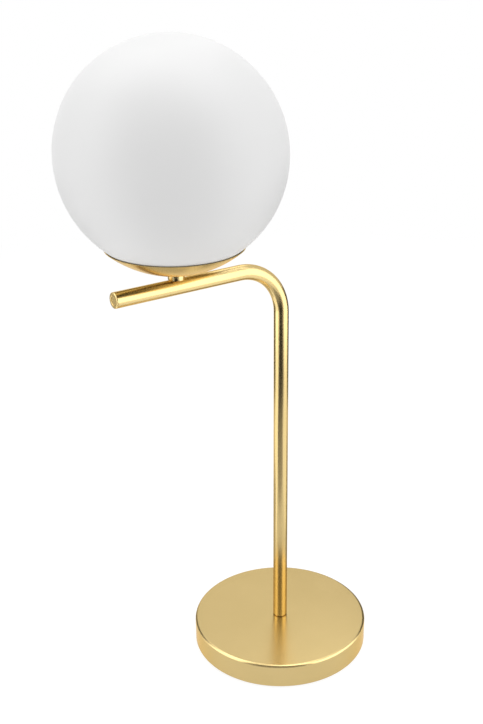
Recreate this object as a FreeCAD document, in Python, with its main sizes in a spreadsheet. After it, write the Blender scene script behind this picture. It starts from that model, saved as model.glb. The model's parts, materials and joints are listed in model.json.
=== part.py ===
import FreeCAD, Part
import Sketcher
import math
import os
from types import SimpleNamespace

# Table lamp: a weighted round base, one tube bent into pole and arm, and an opal globe
# seated in a shallow dish on a short neck near the arm's end.
# Millimetres, +Z up, origin on the pole's axis in the plane that the lamp stands on.
# The arm runs towards -X, and the mains cord would come in through the base at +X.

SIZES = (
    # fits that several pieces share
    ("fit_gap", "0.05"),
    ("thread_gap", "0.1"),
    ("soft_gap", "0.3"),
    ("cut_overrun", "2"),
    # base
    ("base_radius", "91.3"),
    ("shell_height", "25"),
    ("shell_wall", "1.2"),
    ("shell_edge_radius", "2"),
    ("shell_foot_radius", "0.5"),
    ("shell_hole_gap", "0.2"),
    ("pad_thickness", "2"),
    ("pad_proud", "1"),
    ("pad_gap", "0.4"),
    ("plate_thickness", "1.5"),
    ("plate_gap", "0.3"),
    ("weight_gap", "1.5"),
    ("weight_web", "7"),
    ("weight_edge_chamfer", "1.5"),
    ("pocket_radius", "16"),
    ("slot_width", "26"),
    ("boss_height", "5.3"),
    ("boss_radius", "6"),
    ("boss_circle_radius", "66"),
    ("plate_screw_radius", "1.5"),
    ("plate_screw_length", "9"),
    ("screw_slot_width", "0.8"),
    ("screw_slot_depth", "0.6"),
    # cord inlet in the base's rear wall
    ("bushing_height", "12"),
    ("bushing_bore_radius", "3.6"),
    ("bushing_wall", "1.2"),
    ("bushing_flange_width", "1.8"),
    ("bushing_flange_thickness", "1.5"),
    ("bushing_lip_width", "0.7"),
    ("bushing_lip_length", "2"),
    ("bushing_tail_length", "3"),
    # terminal block
    ("terminal_place", "34"),
    ("terminal_length", "16"),
    ("terminal_body_height", "7"),
    ("terminal_tower_height", "4"),
    ("terminal_tower_radius", "3.2"),
    ("terminal_pole_pitch", "8"),
    ("terminal_screw_pitch", "8"),
    ("terminal_wire_height", "3.5"),
    ("terminal_screw_radius", "1.6"),
    ("terminal_screw_sink", "1"),
    ("terminal_edge_width", "1.8"),
    # foot of the pole
    ("thread_radius", "5"),
    ("spigot_depth", "25"),
    ("spigot_bore_radius", "3.2"),
    ("thread_chamfer", "0.6"),
    ("thread_overrun", "1.5"),
    ("nut_flats", "14"),
    ("nut_thickness", "4"),
    ("lock_washer_radius", "8.2"),
    ("lock_washer_thickness", "1.2"),
    ("washer_radius", "11"),
    ("washer_thickness", "1"),
    # bent tube
    ("tube_radius", "7.3"),
    ("tube_wall", "1.5"),
    ("bend_radius", "48.5"),
    ("arm_height", "421"),
    ("arm_reach", "180.1"),
    ("neck_reach", "116.5"),
    ("neck_flat_depth", "1"),
    ("neck_flat_gap", "0.15"),
    ("cap_head_length", "2.4"),
    ("cap_edge_radius", "0.9"),
    ("cap_face_radius", "4.6"),
    ("cap_face_depth", "0.35"),
    ("cap_tail_length", "7"),
    ("insert_length", "20"),
    ("insert_end_wall", "3"),
    # neck
    ("neck_radius", "7.5"),
    ("neck_height", "8.2"),
    ("neck_chamfer", "0.4"),
    ("neck_spigot_radius", "4"),
    ("neck_spigot_length", "3.5"),
    ("neck_thread_depth", "6"),
    ("nipple_bore_radius", "3.5"),
    # globe, and the dish, which is rounder than the globe by dish_tuck and so meets it at the rim
    ("globe_radius", "100"),
    ("globe_wall", "3"),
    ("globe_hole_radius", "37"),
    ("globe_lip_radius", "1.2"),
    ("dish_gap", "0.6"),
    ("dish_tuck", "5.9"),
    ("dish_mouth_radius", "61.4"),
    ("dish_wall", "0.8"),
    ("dish_flat_radius", "9"),
    ("dish_rim_radius", "0.35"),
    # gallery and the globe's threaded collar
    ("collar_wall", "4"),
    ("collar_height", "9"),
    ("collar_chamfer", "0.6"),
    ("gasket_thickness", "1.5"),
    ("gallery_wall", "1.5"),
    ("gallery_floor", "1.2"),
    ("gallery_floor_radius", "8.6"),
    ("gallery_thread_height", "10"),
    ("dish_lock_washer_thickness", "1"),
    # lampholder
    ("socket_radius", "18.5"),
    ("socket_wall", "2.2"),
    ("socket_foot_radius", "9.5"),
    ("socket_foot_height", "6"),
    ("socket_cone_height", "10"),
    ("socket_thread_height", "8"),
    ("socket_ledge_width", "1.8"),
    ("socket_ledge_height", "22"),
    ("socket_cap_height", "26"),
    ("socket_skirt_height", "26"),
    ("socket_lip_thickness", "2"),
    ("socket_lip_width", "0.8"),
    ("core_floor", "6"),
    ("core_wall", "1.6"),
    ("shell_contact_wall", "0.4"),
    ("shell_contact_height", "20"),
    ("contact_strip_thickness", "0.5"),
    ("contact_strip_width", "5"),
    ("contact_strip_length", "9"),
    ("contact_strip_rise", "2"),
    ("socket_terminal_size", "5"),
    ("socket_terminal_offset", "8"),
    ("socket_screw_radius", "1.3"),
    ("socket_screw_length", "4"),
    # bulb
    ("bulb_length", "108"),
    ("bulb_radius", "30"),
    ("bulb_cap_radius", "13"),
    ("bulb_cap_wall", "0.5"),
    ("bulb_cap_length", "20"),
    ("bulb_tip_radius", "4.5"),
    ("bulb_tip_height", "1.2"),
    ("bulb_insulator_height", "4.5"),
    ("bulb_insulator_rim_height", "1"),
    ("bulb_neck_height", "8"),
    ("bulb_shoulder_radius", "27.5"),
    ("bulb_housing_wall", "1.6"),
    ("bulb_neck_curve_radius", "16"),
    ("bulb_diffuser_wall", "1.5"),
    ("bulb_board_drop", "8"),
    # inner wires
    ("wire_radius", "1"),
    ("wire_gap", "0.4"),
    ("wire_play", "0.4"),
    ("wire_turn_radius", "4"),
    ("wire_splay_radius", "6"),
    ("wire_clamp_length", "5"),
)

LOCK_WASHER_TURN = 345
SAME = 1e-6
ORIGIN_POINT = -1
X_AXIS_LINE = -1
Y_AXIS_LINE = -2
START, END, CENTRE = 1, 2, 3


class Size:
    """A number, and the formula on the sheet that gives the same number."""

    def __init__(self, value, formula):
        self.value = value
        self.formula = formula

    def __add__(self, other):
        other = as_size(other)
        return Size(self.value + other.value, f"({self.formula} + {other.formula})")

    def __sub__(self, other):
        other = as_size(other)
        return Size(self.value - other.value, f"({self.formula} - {other.formula})")

    def __rsub__(self, other):
        return as_size(other) - self

    def __mul__(self, other):
        other = as_size(other)
        return Size(self.value * other.value, f"({self.formula} * {other.formula})")

    def __rmul__(self, other):
        return as_size(other) * self

    def __truediv__(self, other):
        other = as_size(other)
        return Size(self.value / other.value, f"({self.formula} / {other.formula})")

    def __neg__(self):
        return Size(-self.value, f"(0 - {self.formula})")


def as_size(number):
    return number if isinstance(number, Size) else Size(number, str(number))


def root(size):
    return Size(math.sqrt(size.value), f"sqrt({size.formula})")


def sphere_drop(radius, out):
    """How far below its centre a sphere's surface lies, at a distance out from its axis."""
    return root(radius * radius - out * out)


def fill_sheet(doc):
    sheet = doc.addObject("Spreadsheet::Sheet", "Sizes")
    for row, (name, text) in enumerate(SIZES, start=1):
        sheet.set(f"A{row}", name)
        sheet.set(f"B{row}", text)
        sheet.setAlias(f"B{row}", name)
    doc.recompute()
    return SimpleNamespace(**{name: Size(sheet.get(name), f"Sizes.{name}") for name, _ in SIZES})


doc = FreeCAD.newDocument("table_lamp")
dim = fill_sheet(doc)
sub_parts = []


# Helpers for bodies, sketches and features


def place(item, x=0, y=0, z=0):
    for axis, size in (("x", x), ("y", y), ("z", z)):
        if isinstance(size, Size):
            item.setExpression(f"Placement.Base.{axis}", size.formula)


def new_body(label, x=0, y=0, z=0):
    body = doc.addObject("PartDesign::Body", label)
    body.Label = label
    place(body, x, y, z)
    sub_parts.append(body)
    return body


def origin_part(body, role):
    return [feature for feature in body.Origin.OriginFeatures if feature.Role == role][0]


def new_sketch(body, plane, name, lift=0):
    sketch = body.newObject("Sketcher::SketchObject", name)
    sketch.AttachmentSupport = (origin_part(body, plane), [""])
    sketch.MapMode = "FlatFace"
    if isinstance(lift, Size):
        sketch.setExpression("AttachmentOffset.Base.z", lift.formula)
    return sketch


def bind(sketch, constraint, size):
    index = sketch.addConstraint(constraint)
    sketch.setExpression(f"Constraints[{index}]", size.formula)


def pin(sketch, geometry, point, x, y):
    """Fixes a point of the sketch at x, y, where a plain 0 means on the axis."""
    for kind, axis, size in (("DistanceX", Y_AXIS_LINE, x), ("DistanceY", X_AXIS_LINE, y)):
        if isinstance(size, Size):
            distance = Sketcher.Constraint(kind, ORIGIN_POINT, START, geometry, point, size.value)
            bind(sketch, distance, size)
        else:
            sketch.addConstraint(Sketcher.Constraint("PointOnObject", geometry, point, axis))


def flat(x, y):
    return FreeCAD.Vector(as_size(x).value, as_size(y).value, 0)


def outline(sketch, *corners):
    """Closed outline. A corner (x, y) ends a straight edge that starts at the corner before it.
    A corner (x, y, centre_x, centre_y) ends an arc, turning left, and one more item, "right",
    turns it right."""
    points = [flat(*corner[:2]) for corner in corners]
    starts = []
    ends = []
    for index, corner in enumerate(corners):
        before = points[index - 1]
        after = points[index]
        if len(corner) == 2:
            geometry = sketch.addGeometry(Part.LineSegment(before, after), False)
            starts.append((geometry, START))
            ends.append((geometry, END))
            continue
        centre = flat(*corner[2:4])
        first, last = (after, before) if len(corner) == 5 else (before, after)
        first_angle = math.atan2(first.y - centre.y, first.x - centre.x)
        last_angle = math.atan2(last.y - centre.y, last.x - centre.x)
        if last_angle < first_angle:
            last_angle += math.tau
        circle = Part.Circle(centre, FreeCAD.Vector(0, 0, 1), centre.distanceToPoint(first))
        geometry = sketch.addGeometry(Part.ArcOfCircle(circle, first_angle, last_angle), False)
        starts.append((geometry, END if len(corner) == 5 else START))
        ends.append((geometry, START if len(corner) == 5 else END))
        if isinstance(corner[2], Size):
            across = Sketcher.Constraint("DistanceX", ORIGIN_POINT, START, geometry, CENTRE, centre.x)
            bind(sketch, across, corner[2])
        else:
            on_axis = Sketcher.Constraint("PointOnObject", geometry, CENTRE, Y_AXIS_LINE)
            sketch.addConstraint(on_axis)
    for index, corner in enumerate(corners):
        following = starts[(index + 1) % len(corners)]
        sketch.addConstraint(Sketcher.Constraint("Coincident", *ends[index], *following))
        pin(sketch, *ends[index], *corner[:2])


def circle(sketch, radius, x=0, y=0):
    round_edge = Part.Circle(flat(x, y), FreeCAD.Vector(0, 0, 1), radius.value)
    geometry = sketch.addGeometry(round_edge, False)
    bind(sketch, Sketcher.Constraint("Radius", geometry, radius.value), radius)
    pin(sketch, geometry, CENTRE, x, y)


def box_outline(sketch, x_low, x_high, y_low, y_high):
    outline(sketch, (x_low, y_low), (x_high, y_low), (x_high, y_high), (x_low, y_high))


def turn(body, name, corners, about="V_Axis", degrees=360):
    sketch = new_sketch(body, "XZ_Plane", name + "_profile")
    outline(sketch, *corners)
    feature = body.newObject("PartDesign::Revolution", name)
    feature.Profile = sketch
    feature.ReferenceAxis = (sketch, [about])
    feature.Angle = degrees
    body.Tip = feature
    return feature


def turned(label, corners, x=0, z=0, about="V_Axis"):
    body = new_body(label, x=x, z=z)
    turn(body, label + "_turned", corners, about)
    return body


def pad(body, name, sketch, length, midplane=False):
    feature = body.newObject("PartDesign::Pad", name)
    feature.Profile = sketch
    feature.setExpression("Length", length.formula)
    feature.Midplane = midplane
    body.Tip = feature
    return feature


def pocket(body, name, sketch, length, away=False, midplane=False):
    """Cuts the sketch into the body, along the sketch's normal where away is set."""
    doc.recompute()
    before = body.Shape.Volume
    feature = body.newObject("PartDesign::Pocket", name)
    feature.Profile = sketch
    feature.setExpression("Length", length.formula)
    feature.Reversed = away
    feature.Midplane = midplane
    body.Tip = feature
    doc.recompute()
    if not body.Shape.Volume < before:
        raise RuntimeError(f"{name} cuts nothing")
    return feature


def around(body, name, feature, count):
    doc.recompute()
    pattern = body.newObject("PartDesign::PolarPattern", name)
    pattern.Originals = [feature]
    pattern.Axis = (origin_part(body, "Z_Axis"), [""])
    pattern.Angle = 360
    pattern.Occurrences = count
    body.Tip = pattern
    return pattern


def round_circles(body, name, radius, circle_radius=None, level=None):
    """Rounds the circular edges of the body that have this radius, lie at this level, or both."""
    doc.recompute()
    solid = body.Tip
    names = []
    for number, edge in enumerate(solid.Shape.Edges, start=1):
        if edge.Degenerated or not isinstance(edge.Curve, Part.Circle):
            continue
        if circle_radius and abs(edge.Curve.Radius - circle_radius.value) > SAME:
            continue
        if level and abs(edge.Curve.Center.z - level.value) > SAME:
            continue
        names.append(f"Edge{number}")
    if not names:
        raise RuntimeError(f"{name} finds no edge")
    feature = body.newObject("PartDesign::Fillet", name)
    feature.Base = (solid, names)
    feature.setExpression("Radius", radius.formula)
    body.Tip = feature


def hexagon(sketch, across_flats):
    corner_radius = across_flats / root(Size(3, "3"))
    half = across_flats / 2
    outline(
        sketch,
        (half, -corner_radius / 2),
        (half, corner_radius / 2),
        (0, corner_radius),
        (-half, corner_radius / 2),
        (-half, -corner_radius / 2),
        (0, -corner_radius),
    )


def ring(inner, outer, height):
    return [(inner, 0), (outer, 0), (outer, height), (inner, height)]


# Levels and radii that several pieces share

base_top = dim.pad_proud + dim.shell_height
shell_inner_radius = dim.base_radius - dim.shell_wall
shell_ceiling = base_top - dim.shell_wall
plate_top = dim.pad_thickness + dim.plate_thickness
weight_height = shell_ceiling - plate_top
foot_seat = shell_ceiling - dim.weight_web
shell_hole_radius = dim.thread_radius + dim.shell_hole_gap
nut_hole_radius = dim.thread_radius + dim.fit_gap
tube_bore_radius = dim.tube_radius - dim.tube_wall
tube_fit_radius = tube_bore_radius - dim.fit_gap
neck_seat = dim.arm_height + dim.tube_radius - dim.neck_flat_depth
dish_inner_radius = dim.globe_radius + dim.dish_gap - dim.dish_tuck
dish_radius = dish_inner_radius + dim.dish_wall
dish_drop = sphere_drop(dish_inner_radius, dim.dish_mouth_radius)
dish_bottom = neck_seat + dim.neck_height
dish_centre = dish_bottom + sphere_drop(dish_radius, dim.dish_flat_radius)
dish_rim = dish_centre - dish_drop
globe_height = dish_rim + sphere_drop(dim.globe_radius + dim.dish_gap, dim.dish_mouth_radius)
dish_floor = dish_bottom + dim.dish_wall
collar_inner_radius = dim.globe_hole_radius - dim.fit_gap - dim.collar_wall
gallery_radius = collar_inner_radius - dim.thread_gap
dish_at_hole = dish_centre - sphere_drop(dish_inner_radius, dim.globe_hole_radius)
gasket_bottom = dish_at_hole + dim.soft_gap
collar_bottom = gasket_bottom + dim.gasket_thickness
socket_bottom = dish_floor + dim.gallery_floor + dim.dish_lock_washer_thickness + dim.nut_thickness
core_bottom = socket_bottom + dim.socket_ledge_height
core_top_floor = core_bottom + dim.core_floor
contact_inner_radius = dim.bulb_cap_radius + dim.thread_gap
contact_outer_radius = contact_inner_radius + dim.shell_contact_wall
bulb_bottom = core_top_floor + dim.contact_strip_rise + dim.soft_gap
wire_offset = dim.wire_radius + dim.wire_gap / 2
wire_bore_radius = wire_offset + dim.wire_radius + dim.wire_play
terminal_wire_level = plate_top + dim.terminal_wire_height


# Base


def make_base_pad():
    radius = shell_inner_radius - dim.pad_gap
    turned("base_pad", [(0, 0), (radius, 0), (radius, dim.pad_thickness), (0, dim.pad_thickness)])


def make_base_plate():
    radius = shell_inner_radius - dim.plate_gap
    thickness = dim.plate_thickness
    body = turned(
        "base_plate",
        [(0, 0), (radius, 0), (radius, thickness), (0, thickness)],
        z=dim.pad_thickness,
    )
    sink = body.newObject("PartDesign::SubtractiveCone", "plate_countersink")
    sink.AttachmentSupport = (origin_part(body, "XY_Plane"), [""])
    sink.MapMode = "FlatFace"
    sink.setExpression("AttachmentOffset.Base.x", (-dim.boss_circle_radius).formula)
    hole_radius = dim.plate_screw_radius + dim.fit_gap
    sink.setExpression("Radius1", (hole_radius + thickness).formula)
    sink.setExpression("Radius2", hole_radius.formula)
    sink.setExpression("Height", thickness.formula)
    around(body, "plate_countersinks", sink, 3)


def make_plate_screws():
    body = new_body("plate_screws", z=dim.pad_thickness)
    radius = dim.plate_screw_radius
    sketch = new_sketch(body, "XY_Plane", "screw_head_edge")
    circle(sketch, radius + dim.plate_thickness, x=-dim.boss_circle_radius)
    shank_sketch = new_sketch(body, "XY_Plane", "screw_neck_edge", lift=dim.plate_thickness)
    circle(shank_sketch, radius, x=-dim.boss_circle_radius)
    head = body.newObject("PartDesign::AdditiveLoft", "screw_head")
    head.Profile = sketch
    head.Sections = [shank_sketch]
    body.Tip = head
    around(body, "screw_heads", head, 3)
    body_sketch = new_sketch(body, "XY_Plane", "screw_shank_edge", lift=dim.plate_thickness)
    circle(body_sketch, radius, x=-dim.boss_circle_radius)
    shank = pad(body, "screw_shank", body_sketch, dim.plate_screw_length - dim.plate_thickness)
    around(body, "screw_shanks", shank, 3)
    slot_sketch = new_sketch(body, "XY_Plane", "screw_slot_edge")
    half_width = dim.screw_slot_width / 2
    reach = radius + dim.plate_thickness + dim.fit_gap
    box_outline(
        slot_sketch,
        -dim.boss_circle_radius - reach,
        -dim.boss_circle_radius + reach,
        -half_width,
        half_width,
    )
    slot = pocket(body, "screw_slot", slot_sketch, dim.screw_slot_depth, away=True)
    around(body, "screw_slots", slot, 3)


def make_base_weight():
    """Cast disc with a pocket for the clamping nut, a channel to the cord inlet and three bosses."""
    radius = shell_inner_radius - dim.weight_gap
    hole_radius = dim.thread_radius + dim.soft_gap
    web_bottom = weight_height - dim.weight_web
    chamfer = dim.weight_edge_chamfer
    body = turned(
        "base_weight",
        [
            (dim.pocket_radius, dim.boss_height),
            (radius - chamfer, dim.boss_height),
            (radius, dim.boss_height + chamfer),
            (radius, weight_height - chamfer),
            (radius - chamfer, weight_height),
            (hole_radius, weight_height),
            (hole_radius, web_bottom),
            (dim.pocket_radius, web_bottom),
        ],
        z=plate_top,
    )
    channel_sketch = new_sketch(body, "XY_Plane", "cord_channel_edge")
    box_outline(
        channel_sketch, 0, radius + dim.cut_overrun, -dim.slot_width / 2, dim.slot_width / 2
    )
    pocket(body, "cord_channel", channel_sketch, web_bottom, away=True)
    boss_sketch = new_sketch(body, "XY_Plane", "plate_boss_edge")
    circle(boss_sketch, dim.boss_radius, x=-dim.boss_circle_radius)
    boss = pad(body, "plate_boss", boss_sketch, dim.boss_height)
    around(body, "plate_bosses", boss, 3)
    hole_sketch = new_sketch(body, "XY_Plane", "boss_hole_edge")
    circle(hole_sketch, dim.plate_screw_radius + dim.fit_gap, x=-dim.boss_circle_radius)
    hole = pocket(body, "boss_hole", hole_sketch, dim.plate_screw_length, away=True)
    around(body, "boss_holes", hole, 3)


def make_base_shell():
    radius = dim.base_radius
    wall = dim.shell_wall
    edge = dim.shell_edge_radius
    foot = dim.shell_foot_radius
    height = dim.shell_height
    body = turned(
        "base_shell",
        [
            (radius - wall, 0),
            (radius - foot, 0),
            (radius, foot, radius - foot, foot),
            (radius, height - edge),
            (radius - edge, height, radius - edge, height - edge),
            (shell_hole_radius, height),
            (shell_hole_radius, height - wall),
            (radius - edge, height - wall),
            (radius - wall, height - edge, radius - edge, height - edge, "right"),
        ],
        z=dim.pad_proud,
    )
    inlet_sketch = new_sketch(body, "YZ_Plane", "cord_inlet_edge")
    inlet_radius = dim.bushing_bore_radius + dim.bushing_wall + dim.fit_gap
    circle(inlet_sketch, inlet_radius, y=dim.bushing_height - dim.pad_proud)
    pocket(body, "cord_inlet", inlet_sketch, radius + dim.cut_overrun, away=True)


def make_cord_bushing():
    """Snap-in bushing along X, with a flange outside the shell's wall and a lip inside it."""
    bore = dim.bushing_bore_radius
    body_radius = bore + dim.bushing_wall
    lip_radius = body_radius + dim.bushing_lip_width
    flange_back = dim.base_radius + dim.fit_gap
    flange_front = flange_back + dim.bushing_flange_thickness
    lip_front = sphere_drop(shell_inner_radius, lip_radius) - dim.fit_gap
    lip_back = lip_front - dim.bushing_lip_length
    turned(
        "cord_bushing",
        [
            (lip_back - dim.bushing_tail_length, bore),
            (flange_front, bore),
            (flange_front, body_radius),
            (flange_front - dim.bushing_flange_thickness / 2, body_radius + dim.bushing_flange_width),
            (flange_back, body_radius + dim.bushing_flange_width),
            (flange_back, body_radius),
            (lip_front, body_radius),
            (lip_front, lip_radius),
            (lip_back, body_radius),
            (lip_back - dim.bushing_tail_length, body_radius),
        ],
        z=dim.bushing_height,
        about="H_Axis",
    )


def terminal_places():
    """Centres of the block's four screws."""
    along = dim.terminal_screw_pitch / 2
    across = dim.terminal_pole_pitch / 2
    return [(-along, -across), (along, -across), (along, across), (-along, across)]


def make_terminal_block():
    body = new_body("terminal_block", x=dim.terminal_place, z=plate_top)
    half_length = dim.terminal_length / 2
    tower = dim.terminal_tower_radius
    half_width = dim.terminal_pole_pitch / 2 + tower + dim.terminal_edge_width
    full_height = dim.terminal_body_height + dim.terminal_tower_height
    foot_sketch = new_sketch(body, "XY_Plane", "block_edge")
    box_outline(foot_sketch, -half_length, half_length, -half_width, half_width)
    pad(body, "block", foot_sketch, dim.terminal_body_height)
    for number, (x, y) in enumerate(terminal_places(), start=1):
        tower_sketch = new_sketch(body, "XY_Plane", f"tower_edge_{number}")
        circle(tower_sketch, tower, x, y)
        pad(body, f"tower_{number}", tower_sketch, full_height)
    for number, (x, y) in enumerate(terminal_places(), start=1):
        well_sketch = new_sketch(body, "XY_Plane", f"well_edge_{number}", lift=full_height)
        circle(well_sketch, dim.terminal_screw_radius + dim.fit_gap, x, y)
        pocket(body, f"well_{number}", well_sketch, full_height - dim.terminal_wire_height)
    wire_sketch = new_sketch(body, "YZ_Plane", "wire_way_edges")
    for side in (-1, 1):
        circle(
            wire_sketch,
            dim.wire_radius + dim.wire_play,
            side * dim.terminal_pole_pitch / 2,
            dim.terminal_wire_height,
        )
    pocket(body, "wire_ways", wire_sketch, dim.terminal_length + dim.cut_overrun, midplane=True)


def make_terminal_screws():
    """Four slotted screws, each ending just above the wire that it would clamp."""
    bottom = plate_top + dim.terminal_wire_height + dim.wire_radius + dim.fit_gap
    top = plate_top + dim.terminal_body_height + dim.terminal_tower_height - dim.terminal_screw_sink
    body = new_body("terminal_screws", x=dim.terminal_place, z=bottom)
    for number, (x, y) in enumerate(terminal_places(), start=1):
        screw_sketch = new_sketch(body, "XY_Plane", f"screw_edge_{number}")
        circle(screw_sketch, dim.terminal_screw_radius, x, y)
        pad(body, f"screw_{number}", screw_sketch, top - bottom)
    slot_sketch = new_sketch(body, "XY_Plane", "slot_edges", lift=top - bottom)
    half_width = dim.screw_slot_width / 2
    reach = dim.terminal_screw_radius + dim.fit_gap
    for x, y in terminal_places():
        box_outline(slot_sketch, x - reach, x + reach, y - half_width, y + half_width)
    pocket(body, "slots", slot_sketch, dim.screw_slot_depth)


# Foot of the pole


def make_foot_spigot():
    """Hollow spigot: its plain upper part is brazed into the tube, its thread takes the nut."""
    bottom = foot_seat - dim.washer_thickness - dim.lock_washer_thickness
    bottom = bottom - dim.nut_thickness - dim.thread_overrun
    shoulder = base_top - bottom
    chamfer = dim.thread_chamfer
    bore = dim.spigot_bore_radius
    turned(
        "foot_spigot",
        [
            (bore, 0),
            (dim.thread_radius - chamfer, 0),
            (dim.thread_radius, chamfer),
            (dim.thread_radius, shoulder),
            (tube_fit_radius, shoulder),
            (tube_fit_radius, shoulder + dim.spigot_depth - chamfer),
            (tube_fit_radius - chamfer, shoulder + dim.spigot_depth),
            (bore, shoulder + dim.spigot_depth),
        ],
        z=bottom,
    )


def make_foot_washer():
    profile = ring(nut_hole_radius, dim.washer_radius, dim.washer_thickness)
    turned("foot_washer", profile, z=foot_seat - dim.washer_thickness)


def make_lock_washer(label, thickness, bottom, x=0):
    """Spring ring with its split."""
    body = new_body(label, x=x, z=bottom)
    profile = ring(nut_hole_radius, dim.lock_washer_radius, thickness)
    turn(body, label + "_turned", profile, degrees=LOCK_WASHER_TURN)


def make_nut(label, bottom, x=0):
    """Thin hexagon nut with both faces chamfered round."""
    body = new_body(label, x=x, z=bottom)
    sketch = new_sketch(body, "XY_Plane", label + "_flats")
    hexagon(sketch, dim.nut_flats)
    circle(sketch, nut_hole_radius)
    pad(body, label + "_blank", sketch, dim.nut_thickness)
    doc.recompute()
    groove_sketch = new_sketch(body, "XZ_Plane", label + "_chamfers")
    inner = dim.nut_flats / 2
    outer = dim.nut_flats / root(Size(3, "3")) + dim.thread_chamfer
    rise = (outer - inner) / 2
    height = dim.nut_thickness
    outline(groove_sketch, (inner, 0), (outer, 0), (outer, rise))
    outline(groove_sketch, (inner, height), (outer, height - rise), (outer, height))
    before = body.Shape.Volume
    groove = body.newObject("PartDesign::Groove", label + "_rounded")
    groove.Profile = groove_sketch
    groove.ReferenceAxis = (groove_sketch, ["V_Axis"])
    groove.Angle = 360
    body.Tip = groove
    doc.recompute()
    if not body.Shape.Volume < before:
        raise RuntimeError(f"{label} has no chamfers")


# Bent tube, its end cap and the slug inside it


def make_stem_tube():
    """Pole, bend and arm in one tube, with a flat and a hole on top for the neck."""
    body = new_body("stem_tube")
    path = new_sketch(body, "XZ_Plane", "tube_path")
    arm = dim.arm_height
    bend = dim.bend_radius
    tube_end = dim.arm_reach - dim.cap_head_length
    path.addGeometry(Part.LineSegment(flat(0, base_top), flat(0, arm - bend)), False)
    elbow = Part.Circle(flat(-bend, arm - bend), FreeCAD.Vector(0, 0, 1), bend.value)
    path.addGeometry(Part.ArcOfCircle(elbow, 0, math.pi / 2), False)
    path.addGeometry(Part.LineSegment(flat(-bend, arm), flat(-tube_end, arm)), False)
    path.addConstraint(Sketcher.Constraint("Tangent", 0, END, 1, START))
    path.addConstraint(Sketcher.Constraint("Tangent", 1, END, 2, START))
    path.addConstraint(Sketcher.Constraint("Vertical", 0))
    pin(path, 0, START, 0, base_top)
    bind(path, Sketcher.Constraint("Radius", 1, bend.value), bend)
    pin(path, 2, END, -tube_end, arm)
    path.addConstraint(Sketcher.Constraint("Horizontal", 2))
    section = new_sketch(body, "XY_Plane", "tube_section", lift=base_top)
    circle(section, dim.tube_radius)
    circle(section, tube_bore_radius)
    doc.recompute()
    tube = body.newObject("PartDesign::AdditivePipe", "tube")
    tube.Profile = section
    tube.Spine = (path, ["Edge1", "Edge2", "Edge3"])
    body.Tip = tube
    flat_sketch = new_sketch(body, "XY_Plane", "neck_flat_edge", lift=neck_seat)
    circle(flat_sketch, dim.neck_radius + dim.neck_flat_gap, x=-dim.neck_reach)
    pocket(body, "neck_flat", flat_sketch, dim.tube_radius, away=True)
    hole_sketch = new_sketch(body, "XY_Plane", "neck_hole_edge", lift=neck_seat)
    circle(hole_sketch, dim.neck_spigot_radius + dim.fit_gap, x=-dim.neck_reach)
    pocket(body, "neck_hole", hole_sketch, dim.neck_spigot_length)


def make_arm_end_cap():
    """Turned plug along X: rounded rim, shallow round face and a tail inside the tube."""
    edge = dim.cap_edge_radius
    outer = dim.tube_radius
    head = dim.cap_head_length
    face = dim.cap_face_radius
    turned(
        "arm_end_cap",
        [
            (dim.cap_face_depth, 0),
            (head + dim.cap_tail_length, 0),
            (head + dim.cap_tail_length, tube_fit_radius),
            (head, tube_fit_radius),
            (head, outer),
            (edge, outer),
            (0, outer - edge, edge, outer - edge),
            (0, face),
            (dim.cap_face_depth, face),
        ],
        x=-dim.arm_reach,
        z=dim.arm_height,
        about="H_Axis",
    )


def make_arm_insert():
    """Slug inside the arm: a cross hole takes the neck's spigot, a bore brings the wires to it."""
    half = dim.insert_length / 2
    body = turned(
        "arm_insert",
        [(-half, 0), (half, 0), (half, tube_fit_radius), (-half, tube_fit_radius)],
        x=-dim.neck_reach,
        z=dim.arm_height,
        about="H_Axis",
    )
    way_sketch = new_sketch(body, "YZ_Plane", "wire_way_edge", lift=dim.insert_end_wall - half)
    circle(way_sketch, tube_fit_radius - dim.tube_wall)
    pocket(body, "wire_way", way_sketch, dim.insert_length, away=True)
    cross_sketch = new_sketch(body, "XY_Plane", "cross_hole_edge")
    circle(cross_sketch, dim.neck_spigot_radius + dim.fit_gap)
    pocket(body, "cross_hole", cross_sketch, dim.tube_radius, away=True)


# Neck, dish and gallery


def make_neck_collar():
    spigot = dim.neck_spigot_length
    top = spigot + dim.neck_height
    chamfer = dim.neck_chamfer
    thread = dim.thread_radius + dim.fit_gap
    turned(
        "neck_collar",
        [
            (wire_bore_radius, 0),
            (dim.neck_spigot_radius, 0),
            (dim.neck_spigot_radius, spigot),
            (dim.neck_radius, spigot),
            (dim.neck_radius, top - chamfer),
            (dim.neck_radius - chamfer, top),
            (thread, top),
            (thread, top - dim.neck_thread_depth),
            (wire_bore_radius, top - dim.neck_thread_depth),
        ],
        x=-dim.neck_reach,
        z=neck_seat - spigot,
    )


def make_neck_nipple():
    bottom = dish_bottom - dim.neck_thread_depth
    height = socket_bottom + dim.socket_thread_height - bottom
    chamfer = dim.thread_chamfer
    radius = dim.thread_radius
    turned(
        "neck_nipple",
        [
            (dim.nipple_bore_radius, 0),
            (radius - chamfer, 0),
            (radius, chamfer),
            (radius, height - chamfer),
            (radius - chamfer, height),
            (dim.nipple_bore_radius, height),
        ],
        x=-dim.neck_reach,
        z=bottom,
    )


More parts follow.
